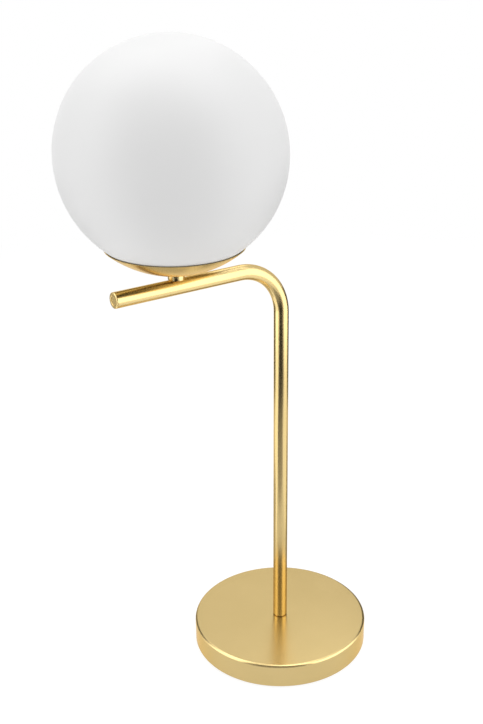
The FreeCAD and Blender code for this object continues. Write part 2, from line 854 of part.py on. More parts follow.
def make_dish():
    """Spun round cap, flat where the neck clamps it."""
    outer_flat = dim.dish_flat_radius
    outer_drop = sphere_drop(dish_radius, outer_flat)
    inner_drop = outer_drop - dim.dish_wall
    inner_flat = sphere_drop(dish_inner_radius, inner_drop)
    body = turned(
        "dish",
        [
            (nut_hole_radius, -inner_drop),
            (nut_hole_radius, -outer_drop),
            (outer_flat, -outer_drop),
            (sphere_drop(dish_radius, dish_drop), -dish_drop, 0, 0),
            (dim.dish_mouth_radius, -dish_drop),
            (inner_flat, -inner_drop, 0, 0, "right"),
        ],
        x=-dim.neck_reach,
        z=dish_centre,
    )
    round_circles(body, "dish_rim", dim.dish_rim_radius, level=-dish_drop)


def make_gallery():
    """Cup with a flat foot, a cone that clears the dish and the threaded rim for the globe."""
    wall = dim.gallery_wall
    floor = dim.gallery_floor
    foot = dim.gallery_floor_radius
    outer = gallery_radius
    inner = outer - wall
    cone_bottom = collar_bottom - dish_floor - wall
    top = collar_bottom + dim.gallery_thread_height - dish_floor
    turned(
        "gallery",
        [
            (nut_hole_radius, 0),
            (foot, 0),
            (inner, cone_bottom),
            (outer, cone_bottom),
            (outer, top),
            (inner, top),
            (inner, cone_bottom + floor),
            (foot, floor),
            (nut_hole_radius, floor),
        ],
        x=-dim.neck_reach,
        z=dish_floor,
    )


# Lampholder


def make_socket_cap():
    """Lower housing: threaded foot, cone and a ledge that carries the core."""
    outer = dim.socket_radius
    inner = outer - dim.socket_wall
    ledge_inner = inner - dim.socket_ledge_width
    thread = dim.thread_radius + dim.fit_gap
    foot = dim.socket_foot_height
    shoulder = foot + dim.socket_cone_height
    cavity_foot = dim.socket_foot_radius - dim.socket_wall + dim.fit_gap
    turned(
        "socket_cap",
        [
            (thread, 0),
            (dim.socket_foot_radius, 0),
            (dim.socket_foot_radius, foot),
            (outer, shoulder),
            (outer, dim.socket_cap_height),
            (inner, dim.socket_cap_height),
            (inner, dim.socket_ledge_height),
            (ledge_inner, dim.socket_ledge_height),
            (ledge_inner, shoulder),
            (cavity_foot, dim.socket_thread_height),
            (thread, dim.socket_thread_height),
        ],
        x=-dim.neck_reach,
        z=socket_bottom,
    )


def make_socket_core():
    """Insulating cup: a thick floor on the cap's ledge and a wall round the threaded contact."""
    bore = contact_outer_radius + dim.fit_gap
    wall = bore + dim.core_wall
    rim = dim.socket_radius - dim.socket_wall - dim.fit_gap
    skirt_top = dim.socket_cap_height + dim.socket_skirt_height - dim.socket_lip_thickness
    top = skirt_top - dim.socket_ledge_height - dim.soft_gap
    turned(
        "socket_core",
        [
            (0, 0),
            (rim, 0),
            (rim, dim.core_floor),
            (wall, dim.core_floor),
            (wall, top),
            (bore, top),
            (bore, dim.core_floor),
            (0, dim.core_floor),
        ],
        x=-dim.neck_reach,
        z=core_bottom,
    )


def make_socket_skirt():
    outer = dim.socket_radius
    inner = outer - dim.socket_wall
    top = dim.socket_skirt_height
    lip = dim.socket_lip_thickness
    turned(
        "socket_skirt",
        [
            (inner, 0),
            (outer, 0),
            (outer, top - lip / 2),
            (outer - lip / 2, top, outer - lip / 2, top - lip / 2),
            (inner - dim.socket_lip_width, top),
            (inner - dim.socket_lip_width, top - lip),
            (inner, top - lip),
        ],
        x=-dim.neck_reach,
        z=socket_bottom + dim.socket_cap_height,
    )


def make_screw_shell():
    profile = ring(contact_inner_radius, contact_outer_radius, dim.shell_contact_height)
    turned("screw_shell", profile, x=-dim.neck_reach, z=core_top_floor)


def make_centre_contact():
    """Folded spring strip between the core's floor and the tip of the bulb."""
    body = new_body("centre_contact", x=-dim.neck_reach, z=core_top_floor)
    sketch = new_sketch(body, "XZ_Plane", "strip_fold")
    half = dim.contact_strip_length / 2
    strip = dim.contact_strip_thickness
    rise = dim.contact_strip_rise
    outline(
        sketch,
        (-half, 0),
        (half, 0),
        (half, rise),
        (-half / 2, rise),
        (-half / 2, rise - strip),
        (half - strip, rise - strip),
        (half - strip, strip),
        (-half, strip),
    )
    pad(body, "strip", sketch, dim.contact_strip_width, midplane=True)


def make_socket_terminals():
    """Two brass blocks under the core, each with a way for its wire and a hole for its screw."""
    size = dim.socket_terminal_size
    half = size / 2
    body = new_body("socket_terminals", x=-dim.neck_reach, z=core_bottom - size)
    block_sketch = new_sketch(body, "XY_Plane", "block_edges")
    way_sketch = new_sketch(body, "XY_Plane", "wire_way_edges")
    screw_sketch = new_sketch(body, "YZ_Plane", "screw_hole_edges")
    for side in (-1, 1):
        middle = side * dim.socket_terminal_offset
        box_outline(block_sketch, -half, half, middle - half, middle + half)
        circle(way_sketch, dim.wire_radius + dim.soft_gap, 0, middle)
        circle(screw_sketch, dim.socket_screw_radius + dim.fit_gap, middle, half)
    pad(body, "blocks", block_sketch, size)
    pocket(body, "wire_ways", way_sketch, dim.wire_clamp_length - dim.soft_gap, away=True)
    pocket(body, "screw_holes", screw_sketch, size)


def make_socket_screws():
    """Screws along X, from just clear of the wires to outside the blocks."""
    half = dim.socket_terminal_size / 2
    body = new_body("socket_screws", x=-dim.neck_reach, z=core_bottom - half)
    start = -dim.wire_radius - dim.fit_gap
    sketch = new_sketch(body, "YZ_Plane", "screw_edges", lift=start)
    for side in (-1, 1):
        circle(sketch, dim.socket_screw_radius, side * dim.socket_terminal_offset, 0)
    screws = pad(body, "screws", sketch, dim.socket_screw_length)
    screws.Reversed = True


# Inner wires


def rounded_route(corners):
    """Straight runs joined by tangent arcs. Each corner is (point, arc radius)."""
    edges = []
    last = corners[0][0]
    for index in range(1, len(corners) - 1):
        point, radius = corners[index]
        back = (corners[index - 1][0] - point).normalize()
        ahead = (corners[index + 1][0] - point).normalize()
        half_angle = back.getAngle(ahead) / 2
        reach = radius / math.tan(half_angle)
        start = point + back * reach
        end = point + ahead * reach
        toward_centre = (back + ahead).normalize()
        middle = point + toward_centre * (radius / math.sin(half_angle) - radius)
        edges.append(Part.LineSegment(last, start).toShape())
        edges.append(Part.Arc(start, middle, end).toShape())
        last = end
    edges.append(Part.LineSegment(last, corners[-1][0]).toShape())
    return Part.Wire(edges)


def make_wire(label, side):
    """Insulated wire: terminal block, up the pole, round the bend, along the arm, up the neck."""
    near = side * wire_offset.value
    block = side * dim.terminal_pole_pitch.value / 2
    socket = side * dim.socket_terminal_offset.value
    turn_radius = dim.wire_turn_radius.value
    splay_radius = dim.wire_splay_radius.value
    low = terminal_wire_level.value
    arm = dim.arm_height.value
    neck = -dim.neck_reach.value
    front = dim.terminal_place.value - dim.terminal_length.value / 2
    clamp = dim.wire_clamp_length.value
    nipple_top = socket_bottom.value + dim.socket_thread_height.value
    terminal_bottom = core_bottom.value - dim.socket_terminal_size.value
    splay = (terminal_bottom - nipple_top) / 4
    corners = (
        (FreeCAD.Vector(front + clamp, block, low), 0),
        (FreeCAD.Vector(front - turn_radius, block, low), splay_radius),
        (FreeCAD.Vector(3 * turn_radius, near, low), splay_radius),
        (FreeCAD.Vector(0, near, low), turn_radius),
        (FreeCAD.Vector(0, near, arm), dim.bend_radius.value),
        (FreeCAD.Vector(neck, near, arm), turn_radius),
        (FreeCAD.Vector(neck, near, nipple_top + splay), turn_radius / 2),
        (FreeCAD.Vector(neck, socket, terminal_bottom - splay), turn_radius / 2),
        (FreeCAD.Vector(neck, socket, terminal_bottom + clamp - 2 * dim.soft_gap.value), 0),
    )
    route = rounded_route(corners)
    start = corners[0][0]
    radius = dim.wire_radius.value
    section = Part.Wire(Part.Circle(start, FreeCAD.Vector(1, 0, 0), radius).toShape())
    solid = route.makePipeShell([section], True, False)
    expected = math.pi * radius * radius * route.Length
    print(f"{label}: {route.Length:.1f} long, volume {solid.Volume:.1f}, expected {expected:.1f}")
    item = doc.addObject("Part::Feature", label)
    item.Label = label
    item.Shape = solid
    item.Placement = FreeCAD.Placement()
    sub_parts.append(item)


# Bulb, from its tip upwards


def make_bulb_tip():
    radius = dim.bulb_tip_radius
    rise = dim.bulb_tip_height
    turned(
        "bulb_tip",
        [(0, 0), (radius - rise, 0), (radius, rise), (0, rise)],
        x=-dim.neck_reach,
        z=bulb_bottom,
    )


def make_bulb_insulator():
    tip = dim.bulb_tip_radius
    rim = dim.bulb_cap_radius - dim.bulb_cap_wall - dim.fit_gap
    height = dim.bulb_insulator_height
    rim_height = dim.bulb_insulator_rim_height
    turned(
        "bulb_insulator",
        [
            (0, dim.bulb_tip_height),
            (tip + dim.soft_gap, dim.bulb_tip_height),
            (rim, height - rim_height),
            (rim, height),
            (0, height),
        ],
        x=-dim.neck_reach,
        z=bulb_bottom,
    )


def make_bulb_cap():
    outer = dim.bulb_cap_radius
    profile = ring(outer - dim.bulb_cap_wall, outer, dim.bulb_cap_length)
    turned("bulb_cap", profile, x=-dim.neck_reach, z=bulb_bottom + dim.bulb_insulator_rim_height)


def bulb_levels():
    """Heights above the tip: cap's top, housing's top and the centre of the round crown."""
    cap_top = dim.bulb_insulator_rim_height + dim.bulb_cap_length
    crown_centre = dim.bulb_length - dim.bulb_radius
    housing_top = crown_centre - sphere_drop(dim.bulb_radius, dim.bulb_shoulder_radius)
    return cap_top, housing_top, crown_centre


def make_bulb_housing():
    """Plastic body: a neck inside the cap, then a cone that widens to the diffuser."""
    cap_top, housing_top, _ = bulb_levels()
    neck = dim.bulb_cap_radius - dim.bulb_cap_wall - dim.fit_gap
    wall = dim.bulb_housing_wall
    shoulder = dim.bulb_shoulder_radius
    floor = dim.bulb_insulator_height
    cone = cap_top + dim.bulb_neck_height
    board = housing_top - dim.bulb_board_drop
    body = turned(
        "bulb_housing",
        [
            (0, floor),
            (neck, floor),
            (neck, cap_top),
            (dim.bulb_cap_radius, cap_top),
            (dim.bulb_cap_radius, cone),
            (shoulder, housing_top),
            (shoulder - wall, housing_top),
            (shoulder - wall - dim.bulb_board_drop / 2, board),
            (0, board),
        ],
        x=-dim.neck_reach,
        z=bulb_bottom,
    )
    curve_radius = dim.bulb_neck_curve_radius
    round_circles(body, "bulb_neck_curve", curve_radius, dim.bulb_cap_radius, level=cone)


def make_bulb_diffuser():
    """Opal dome seated on the housing's rim."""
    _, housing_top, centre = bulb_levels()
    outer = dim.bulb_radius
    inner = outer - dim.bulb_diffuser_wall
    drop = centre - housing_top
    turned(
        "bulb_diffuser",
        [
            (dim.bulb_shoulder_radius, -drop),
            (0, outer, 0, 0),
            (0, inner),
            (sphere_drop(inner, drop), -drop, 0, 0, "right"),
        ],
        x=-dim.neck_reach,
        z=bulb_bottom + centre,
    )


# Globe, its threaded collar and the soft ring under it


def make_globe_glass():
    outer = dim.globe_radius
    inner = outer - dim.globe_wall
    hole = dim.globe_hole_radius
    body = turned(
        "globe_glass",
        [
            (hole, -sphere_drop(outer, hole)),
            (0, outer, 0, 0),
            (0, inner),
            (hole, -sphere_drop(inner, hole), 0, 0, "right"),
        ],
        x=-dim.neck_reach,
        z=globe_height,
    )
    round_circles(body, "globe_lip", dim.globe_lip_radius, circle_radius=hole)


def make_globe_collar():
    """Ring bonded into the globe's hole, about level with the foot of the glass."""
    inner = collar_inner_radius
    outer = inner + dim.collar_wall
    chamfer = dim.collar_chamfer
    height = dim.collar_height
    turned(
        "globe_collar",
        [
            (inner, chamfer),
            (inner + chamfer, 0),
            (outer, 0),
            (outer, height - chamfer),
            (outer - chamfer, height),
            (inner, height),
        ],
        x=-dim.neck_reach,
        z=collar_bottom,
    )


def make_globe_gasket():
    inner = collar_inner_radius + dim.soft_gap
    profile = ring(inner, collar_inner_radius + dim.collar_wall, dim.gasket_thickness)
    turned("globe_gasket", profile, x=-dim.neck_reach, z=gasket_bottom)


make_base_pad()
make_base_plate()
make_plate_screws()
make_base_weight()
make_base_shell()
make_cord_bushing()
make_terminal_block()
make_terminal_screws()
make_foot_spigot()
make_foot_washer()
make_lock_washer(
    "foot_lock_washer",
    dim.lock_washer_thickness,
    foot_seat - dim.washer_thickness - dim.lock_washer_thickness,
)
make_nut(
    "foot_nut",
    foot_seat - dim.washer_thickness - dim.lock_washer_thickness - dim.nut_thickness,
)
make_stem_tube()
make_arm_end_cap()
make_arm_insert()
make_neck_collar()
make_neck_nipple()
make_dish()
make_gallery()
make_lock_washer(
    "dish_lock_washer",
    dim.dish_lock_washer_thickness,
    dish_floor + dim.gallery_floor,
    x=-dim.neck_reach,
)
make_nut("dish_nut", socket_bottom - dim.nut_thickness, x=-dim.neck_reach)
make_socket_cap()
make_socket_core()
make_socket_skirt()
make_screw_shell()
make_centre_contact()
make_socket_terminals()
make_socket_screws()
make_wire("live_wire", -1)
make_wire("neutral_wire", 1)
make_bulb_tip()
make_bulb_insulator()
make_bulb_cap()
make_bulb_housing()
make_bulb_diffuser()
make_globe_glass()
make_globe_collar()
make_globe_gasket()


doc.recompute()
failed = [item.Label for item in doc.Objects if {"Invalid", "Error"} & set(item.State)]
for item in sub_parts:
    if item.Shape.isNull() or not item.Shape.isValid():
        failed.append(item.Label)
if failed:
    raise RuntimeError("these did not build: " + ", ".join(failed))

os.makedirs("parts", exist_ok=True)
for item in sub_parts:
    item.Shape.exportStep(f"parts/{item.Label}.step")
    box = item.Shape.BoundBox
    print(
        f"{item.Label}: {len(item.Shape.Solids)} solid, {item.Shape.Volume:.0f} mm3,"
        f" z {box.ZMin:.2f} to {box.ZMax:.2f}"
    )
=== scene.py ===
import json
import math

import bmesh
import bpy
from mathutils import Matrix, Vector


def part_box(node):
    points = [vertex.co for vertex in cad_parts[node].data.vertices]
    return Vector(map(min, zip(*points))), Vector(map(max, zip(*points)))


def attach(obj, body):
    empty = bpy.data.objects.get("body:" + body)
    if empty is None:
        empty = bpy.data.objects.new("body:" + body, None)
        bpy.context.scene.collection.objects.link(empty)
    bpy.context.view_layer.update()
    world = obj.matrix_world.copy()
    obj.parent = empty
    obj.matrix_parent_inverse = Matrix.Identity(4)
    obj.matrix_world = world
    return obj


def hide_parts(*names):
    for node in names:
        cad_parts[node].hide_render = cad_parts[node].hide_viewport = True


# Table lamp: satin gold base, bent tube and dish under an opal globe, with the lampholder
# and bulb that show once the globe is lifted off.
# Metres, in the frame of the solids: +Z up, origin under the pole, the arm towards -X.

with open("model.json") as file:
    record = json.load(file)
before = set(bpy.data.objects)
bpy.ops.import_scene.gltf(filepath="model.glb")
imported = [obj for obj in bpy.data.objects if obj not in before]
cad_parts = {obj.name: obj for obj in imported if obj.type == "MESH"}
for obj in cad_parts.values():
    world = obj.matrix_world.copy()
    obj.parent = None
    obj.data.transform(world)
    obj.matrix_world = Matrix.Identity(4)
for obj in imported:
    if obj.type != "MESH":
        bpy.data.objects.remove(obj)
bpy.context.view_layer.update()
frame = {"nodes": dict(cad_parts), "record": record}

# Camera, fitted to the outlines of globe, arm, pole and base in the photograph

PHOTO_WIDTH = 483
PHOTO_HEIGHT = 724
PRINCIPAL_POINT = (272.178, 369.147)
FOCAL_LENGTH_PIXELS = 1099.909
SENSOR = 36.0
CAMERA_PLACE = Vector((-0.600758, -0.796682, 0.731672))
CAMERA_YAW = 0.63740
CAMERA_PITCH = 0.39758
CAMERA_ROLL = 0.00089

# Sizes that the boxes of the solids don't give

NECK_X = -0.1165
TUBE_RADIUS = 0.0073
TUBE_WALL = 0.0015
BEND_RADIUS = 0.0485
ARM_HEIGHT = 0.421
NECK_SPIGOT = 0.0035
OVER_NECK = Matrix.Translation((NECK_X, 0, 0))
FIT = 0.00005
THREAD_HOLE = 0.00505
GALLERY_PITCH = 0.002
GALLERY_THREAD_DEPTH = 0.00045
GALLERY_THREAD_STEP = 0.00015
GALLERY_RUN_OUT = 0.001
BULB_PITCH = 0.003629

SHARP_ANGLE = math.radians(32)
TINY = 1e-7


# Helpers for meshes


def arc(centre, radius, start, end, steps):
    """Points of an arc in a profile. Angles are in degrees, from the axis outwards to the top."""
    points = []
    for step in range(steps + 1):
        angle = math.radians(start + (end - start) * step / steps)
        points.append((centre[0] + radius * math.cos(angle), centre[1] + radius * math.sin(angle)))
    return points


def divided(profile, radius, step):
    """Adds points, a step apart, to the walls of this radius in a closed profile."""
    points = []
    for index, point in enumerate(profile):
        points.append(point)
        after = profile[(index + 1) % len(profile)]
        if abs(point[0] - radius) < TINY and abs(after[0] - radius) < TINY:
            count = math.ceil(abs(after[1] - point[1]) / step)
            for number in range(1, count):
                points.append((radius, point[1] + (after[1] - point[1]) * number / count))
    return points


def soften(corners, radius, steps=3):
    """Rounds every corner of a closed profile that doesn't lie on the axis."""
    points = []
    for index, corner in enumerate(corners):
        here = Vector(corner)
        back = Vector(corners[index - 1]) - here
        ahead = Vector(corners[(index + 1) % len(corners)]) - here
        if corner[0] < TINY:
            points.append(corner)
            continue
        reach = min(radius, back.length / 3, ahead.length / 3)
        start = here + back.normalized() * reach
        end = here + ahead.normalized() * reach
        for step in range(steps + 1):
            share = step / steps
            on_start = start.lerp(here, share)
            on_end = here.lerp(end, share)
            points.append(tuple(on_start.lerp(on_end, share)))
    return points


def join_rings(bm, ring, following):
    count = max(len(ring), len(following))
    if count == 1:
        return
    for index in range(count):
        after = (index + 1) % count
        corners = [ring[index % len(ring)], ring[after % len(ring)]]
        corners += [following[after % len(following)], following[index % len(following)]]
        unique = []
        for corner in corners:
            if corner not in unique:
                unique.append(corner)
        bm.faces.new(unique)


def smooth(mesh):
    for polygon in mesh.polygons:
        polygon.use_smooth = True
    mesh.set_sharp_from_angle(angle=SHARP_ANGLE)


def finish_mesh(bm, name):
    """Turns the mesh under construction into a smooth object with its sharp edges kept."""
    bmesh.ops.recalc_face_normals(bm, faces=bm.faces)
    mesh = bpy.data.meshes.new(name)
    bm.to_mesh(mesh)
    bm.free()
    smooth(mesh)
    piece = bpy.data.objects.new(name, mesh)
    bpy.context.scene.collection.objects.link(piece)
    return piece


def lathe(name, profile, place=Matrix.Identity(4), segments=128):
    """Closed solid of revolution. The profile is a loop of (radius, height) points."""
    bm = bmesh.new()
    rings = []
    for radius, height in profile:
        if radius < TINY:
            rings.append([bm.verts.new(place @ Vector((0, 0, height)))])
            continue
        ring = []
        for index in range(segments):
            angle = math.tau * index / segments
            point = Vector((radius * math.cos(angle), radius * math.sin(angle), height))
            ring.append(bm.verts.new(place @ point))
        rings.append(ring)
    for index, ring in enumerate(rings):
        join_rings(bm, ring, rings[(index + 1) % len(rings)])
    return finish_mesh(bm, name)


def cut(piece, tool):
    """Takes the tool's volume out of the piece and removes the tool."""
    modifier = piece.modifiers.new("cut", "BOOLEAN")
    modifier.operation = "DIFFERENCE"
    modifier.solver = "EXACT"
    modifier.object = tool
    bpy.context.view_layer.update()
    evaluated = piece.evaluated_get(bpy.context.evaluated_depsgraph_get())
    mesh = bpy.data.meshes.new_from_object(evaluated)
    piece.modifiers.clear()
    piece.data = mesh
    smooth(mesh)
    bpy.data.objects.remove(tool)


def shape_wall(piece, radius, low, high, depth_at):
    """Moves the wall of this radius about the neck's axis in or out by depth_at(angle, height)."""
    for vertex in piece.data.vertices:
        across = Vector((vertex.co.x - NECK_X, vertex.co.y))
        if abs(across.length - radius) > FIT or not low <= vertex.co.z <= high:
            continue
        angle = math.atan2(across.y, across.x)
        across = across.normalized() * (radius + depth_at(angle, vertex.co.z))
        vertex.co.x = NECK_X + across.x
        vertex.co.y = across.y


def thread(piece, radius, low, high, pitch, depth, run_out, phase=0.0):
    """Right-handed screw thread in a wall, fading out at both ends. A depth below 0 cuts inwards."""

    def depth_at(angle, height):
        groove = 0.5 + 0.5 * math.cos(math.tau * (height / pitch - angle / math.tau + phase))
        end_distance = min(height - low, high - height)
        return depth * groove * min(1, end_distance / run_out)

    shape_wall(piece, radius, low, high, depth_at)
    smooth(piece.data)


def grip(piece, radius, low, high, count, depth):
    """Upright grooves round a wall, rounded off at both ends."""
    half = (high - low) / 2

    def depth_at(angle, height):
        groove = (0.5 - 0.5 * math.cos(count * angle)) ** 2
        from_middle = abs(height - low - half) / half
        return -depth * groove * math.sqrt(max(0, 1 - from_middle**6))

    shape_wall(piece, radius, low, high, depth_at)
    smooth(piece.data)


def dress(piece, body, nodes, slot):
    """Gives a piece its body and its finish, and hides the solids that it stands for."""
    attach(piece, body)
    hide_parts(*nodes)
    piece.data.materials.clear()
    piece.data.materials.append(finishes[slot])


# Finishes: one material for each slot of the record

NOISE_LOW = 0.3
NOISE_HIGH = 0.7


def new_material(name):
    material = bpy.data.materials.new(name)
    material.use_nodes = True
    tree = material.node_tree
    shader = tree.nodes["Principled BSDF"]
    place = tree.nodes.new("ShaderNodeTexCoord").outputs["Object"]
    return material, tree, shader, place


def noise(tree, place, scale, detail=3.0):
    texture = tree.nodes.new("ShaderNodeTexNoise")
    texture.inputs["Scale"].default_value = scale
    texture.inputs["Detail"].default_value = detail
    tree.links.new(place, texture.inputs["Vector"])
    return texture.outputs["Fac"]


def spread(tree, factor, low, high):
    """Maps the middle of a noise to a range of values."""
    remap = tree.nodes.new("ShaderNodeMapRange")
    remap.inputs["From Min"].default_value = NOISE_LOW
    remap.inputs["From Max"].default_value = NOISE_HIGH
    remap.inputs["To Min"].default_value = low
    remap.inputs["To Max"].default_value = high
    tree.links.new(factor, remap.inputs["Value"])
    return remap.outputs["Result"]


def tint(tree, factor, dark, light):
    """Maps the middle of a noise to a range of colours."""
    ramp = tree.nodes.new("ShaderNodeValToRGB")
    ramp.color_ramp.elements[0].position = NOISE_LOW
    ramp.color_ramp.elements[0].color = (*dark, 1)
    ramp.color_ramp.elements[1].position = NOISE_HIGH
    ramp.color_ramp.elements[1].color = (*light, 1)
    tree.links.new(factor, ramp.inputs["Fac"])
    return ramp.outputs["Color"]


def bump(tree, factor, depth):
    node = tree.nodes.new("ShaderNodeBump")
    node.inputs["Strength"].default_value = 1
    node.inputs["Distance"].default_value = depth
    tree.links.new(factor, node.inputs["Height"])
    return node.outputs["Normal"]


def finish(name, colours, roughness, grain, metal=0, clouds=25, sockets=None):
    """Colour drifts over clouds, and a fine grain sets the roughness and stands in the surface.
    colours and roughness are (darker, lighter) ends, grain is (scale, depth)."""
    material, tree, shader, place = new_material(name)
    cloud = noise(tree, place, clouds)
    tree.links.new(tint(tree, cloud, *colours), shader.inputs["Base Color"])
    grain_scale, grain_depth = grain
    fine = noise(tree, place, grain_scale, detail=4.0)
    tree.links.new(spread(tree, fine, *roughness), shader.inputs["Roughness"])
    tree.links.new(bump(tree, fine, grain_depth), shader.inputs["Normal"])
    shader.inputs["Metallic"].default_value = metal
    for socket, value in (sockets or {}).items():
        shader.inputs[socket].default_value = value
    return material


LOOKS = {
    "satin_gold": {
        "colours": ((0.59, 0.450, 0.205), (0.615, 0.470, 0.218)),
        "roughness": (0.24, 0.26),
        "grain": (3000, 0.0000001),
        "metal": 1,
        "sockets": {"Specular Tint": (1.0, 0.82, 0.55, 1)},
    },
    "cast_iron": {
        "colours": ((0.02, 0.02, 0.021), (0.04, 0.04, 0.042)),
        "roughness": (0.55, 0.75),
        "grain": (900, 0.0002),
    },
    "zinc_steel": {
        "colours": ((0.36, 0.36, 0.35), (0.46, 0.46, 0.44)),
        "roughness": (0.28, 0.42),
        "grain": (700, 0.00001),
        "metal": 1,
    },
    "turned_brass": {
        "colours": ((0.58, 0.36, 0.10), (0.66, 0.43, 0.14)),
        "roughness": (0.2, 0.32),
        "grain": (1500, 0.000005),
        "metal": 1,
    },
    "aluminium": {
        "colours": ((0.52, 0.53, 0.54), (0.60, 0.61, 0.62)),
        "roughness": (0.28, 0.38),
        "grain": (1200, 0.000002),
        "metal": 1,
    },
    "base_felt": {
        "colours": ((0.012, 0.012, 0.013), (0.03, 0.03, 0.031)),
        "roughness": (0.85, 1),
        "grain": (1800, 0.0003),
    },
    "soft_ring": {
        "colours": ((0.62, 0.62, 0.60), (0.68, 0.68, 0.66)),
        "roughness": (0.42, 0.52),
        "grain": (800, 0.00001),
        "sockets": {"Subsurface Weight": 0.3, "Subsurface Scale": 0.002},
    },
    "black_plastic": {
        "colours": ((0.012, 0.012, 0.013), (0.018, 0.018, 0.019)),
        "roughness": (0.34, 0.44),
        "grain": (1400, 0.00002),
    },
    "pale_plastic": {
        "colours": ((0.66, 0.66, 0.61), (0.72, 0.72, 0.67)),
        "roughness": (0.35, 0.45),
        "grain": (1400, 0.00001),
    },
    "brown_wire": {
        "colours": ((0.10, 0.035, 0.012), (0.13, 0.05, 0.02)),
        "roughness": (0.35, 0.45),
        "grain": (1500, 0.00001),
    },
    "blue_wire": {
        "colours": ((0.01, 0.06, 0.27), (0.02, 0.09, 0.34)),
        "roughness": (0.35, 0.45),
        "grain": (1500, 0.00001),
    },
    "nickel_cap": {
        "colours": ((0.50, 0.48, 0.44), (0.58, 0.56, 0.52)),
        "roughness": (0.2, 0.3),
        "grain": (1300, 0.000004),
        "metal": 1,
    },
    "black_glass": {
        "colours": ((0.01, 0.01, 0.012), (0.02, 0.02, 0.022)),
        "roughness": (0.08, 0.14),
        "grain": (600, 0.000004),
    },
    "bulb_white": {
        "colours": ((0.76, 0.76, 0.74), (0.80, 0.80, 0.78)),
        "roughness": (0.38, 0.46),
        "grain": (1600, 0.000006),
        "sockets": {"Subsurface Weight": 0.2, "Subsurface Scale": 0.002},
    },
    "opal_glass": {
        "colours": ((0.855, 0.855, 0.854), (0.87, 0.87, 0.869)),
        "roughness": (0.42, 0.48),
        "grain": (1500, 0.000002),
        "clouds": 8,
        "sockets": {"IOR": 1.5, "Specular IOR Level": 0.18},
    },
}

finishes = {slot: finish(slot, **look) for slot, look in LOOKS.items()}


def dress_solid(node, slot):
    """A solid that shows as it is gets its finish and smooth shading."""
    item = frame["nodes"][node]
    item.data.materials.clear()
    item.data.materials.append(finishes[slot])
    smooth(item.data)


for sub_part in frame["record"]["subparts"]:
    dress_solid(sub_part["node"], sub_part["material_slot"])


# Base shell


def make_base_shell():
    low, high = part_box("base_shell")
    radius = high.y
    wall = 0.0012
    edge = 0.0028
    foot = 0.0005
    hole = 0.0052
    hold = 0.0003
    inner = radius - wall
    ceiling = high.z - wall
    profile = [(inner, low.z)]
    profile += arc((radius - foot, low.z + foot), foot, -90, 0, 5)
    profile += [(radius, low.z + foot + hold), (radius, high.z - edge - hold)]
    profile += arc((radius - edge, high.z - edge), edge, 0, 90, 10)
    profile += [(radius - edge - hold, high.z), (hole, high.z), (hole, ceiling)]
    profile += arc((radius - edge, high.z - edge), edge - wall, 90, 0, 5)
    piece = lathe("base_cover", profile, segments=256)
    inlet_radius = 0.00485
    inlet_height = 0.012
    inside = inner - edge
    outside = radius + edge
    along_x = Matrix.Translation((0, 0, inlet_height)) @ Matrix.Rotation(math.pi / 2, 4, "Y")
    outline = [(0, inside), (inlet_radius, inside), (inlet_radius, outside), (0, outside)]
    cut(piece, lathe("inlet", outline, along_x, segments=48))
    dress(piece, "stand", ["base_shell"], "satin_gold")


make_base_shell()


# Bent tube


def tube_path(radius):
    """Centre, direction and radius along the pole, the bend and the arm. The foot has a fine groove."""
    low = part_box("stem_tube")[0]
    steps = 48
    up = Vector((0, 0, 1))
    groove = ((0.0009, 0), (0.0009, 0.0005), (0.0003, 0.0006), (0.0001, 0.0008), (0, 0.0011))
    stations = []
    for inset, height in groove:
        stations.append((Vector((0, 0, low.z + height)), up, radius - inset))
    centre = Vector((-BEND_RADIUS, 0, ARM_HEIGHT - BEND_RADIUS))
    for step in range(steps + 1):
        angle = math.pi / 2 * step / steps
        out = Vector((math.cos(angle), 0, math.sin(angle)))
        ahead = Vector((-math.sin(angle), 0, math.cos(angle)))
        stations.append((centre + out * BEND_RADIUS, ahead, radius))
    stations.append((Vector((low.x, 0, ARM_HEIGHT)), Vector((-1, 0, 0)), radius))
    return stations


def make_stem_tube():
    bm = bmesh.new()
    segments = 96
    across = Vector((0, 1, 0))
    bore = TUBE_RADIUS - TUBE_WALL
    bore_path = [(centre, ahead, bore) for centre, ahead, _ in tube_path(bore)]
    loops = []
    for stations in (tube_path(TUBE_RADIUS), bore_path):
        rings = []
        for centre, ahead, radius in stations:
            side = across.cross(ahead)
            ring = []
            for index in range(segments):
                angle = math.tau * index / segments
                offset = side * math.cos(angle) + across * math.sin(angle)
                ring.append(bm.verts.new(centre + offset * radius))
            rings.append(ring)
        for ring, following in zip(rings, rings[1:]):
            join_rings(bm, ring, following)
        loops.append(rings)
    outer, inner = loops
    for end in (0, -1):
        join_rings(bm, outer[end], inner[end])
    piece = finish_mesh(bm, "bent_stem")
    collar_low, collar_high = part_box("neck_collar")
    room = 0.0004
    seat = collar_low.z + NECK_SPIGOT
    flat_radius = collar_high.y + room
    flat_top = seat + TUBE_RADIUS
    flat = [(0, seat), (flat_radius, seat), (flat_radius, flat_top), (0, flat_top)]
    cut(piece, lathe("flat", flat, OVER_NECK, segments=64))
    dress(piece, "stand", ["stem_tube"], "satin_gold")


make_stem_tube()


